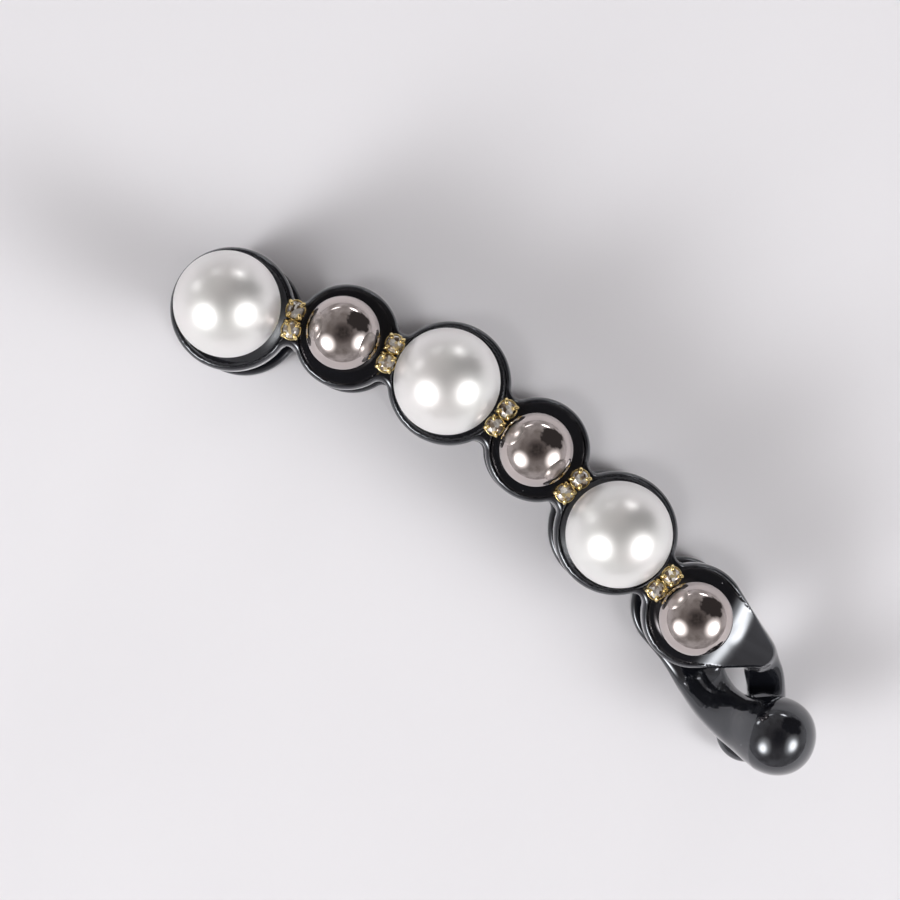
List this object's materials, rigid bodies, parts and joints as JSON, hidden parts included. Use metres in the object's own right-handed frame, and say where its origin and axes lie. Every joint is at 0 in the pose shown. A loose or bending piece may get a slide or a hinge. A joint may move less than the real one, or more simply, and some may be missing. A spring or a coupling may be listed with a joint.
{
  "type": "interlocking hair clip",
  "caption": "Long hinged hair clip with two scalloped arms, comb teeth and interlocking hooks, its front arm set with pearls, metal beads and claw-set stones.",
  "frame": {"origin": "on the rear arm's flat outer face, under the centre of the third cup from the hinge", "axes": "+Z from the rear arm's outer face towards the decorated front arm, +X along the clip from the hinge to the hooks, +Y towards the arms' outward-curved side"},
  "size_m": [0.1221, 0.0305, 0.0376],
  "materials": {
    "black_plastic": "polished black, injection moulded",
    "steel": "plain drawn steel",
    "pearl_coating": "pearlescent coating on a plastic ball",
    "gunmetal_chrome": "mirror, warm grey",
    "gold_metal": "thin pale gold plating",
    "crystal": "clear cut glass, foil backed"
  },
  "bodies": {
    "rear_arm": {"rear_arm": "black_plastic", "rear_comb": "black_plastic", "hinge_pin": "steel", "hinge_spring": "steel"},
    "front_arm": {"front_arm": "black_plastic", "front_comb": "black_plastic", "front_hook": "black_plastic", "pearl_1": "pearl_coating", "pearl_2": "pearl_coating", "pearl_3": "pearl_coating", "bead_1": "gunmetal_chrome", "bead_2": "gunmetal_chrome", "bead_3": "gunmetal_chrome", "stone_setting_1": "gold_metal", "stone_setting_2": "gold_metal", "stone_setting_3": "gold_metal", "stone_setting_4": "gold_metal", "stone_setting_5": "gold_metal", "rhinestone_1": "crystal", "rhinestone_2": "crystal", "rhinestone_3": "crystal", "rhinestone_4": "crystal", "rhinestone_5": "crystal", "rhinestone_6": "crystal", "rhinestone_7": "crystal", "rhinestone_8": "crystal", "rhinestone_9": "crystal", "rhinestone_10": "crystal"}
  },
  "joints": [
    {"name": "arm_swing", "type": "hinge", "parent": "rear_arm", "child": "front_arm", "pos_m": [-0.038, -0.0115, 0.01125], "axis": [0, -1, 0], "range_deg": [0, 50], "deforming": ["front_hook", "hinge_spring"]}
  ]
}
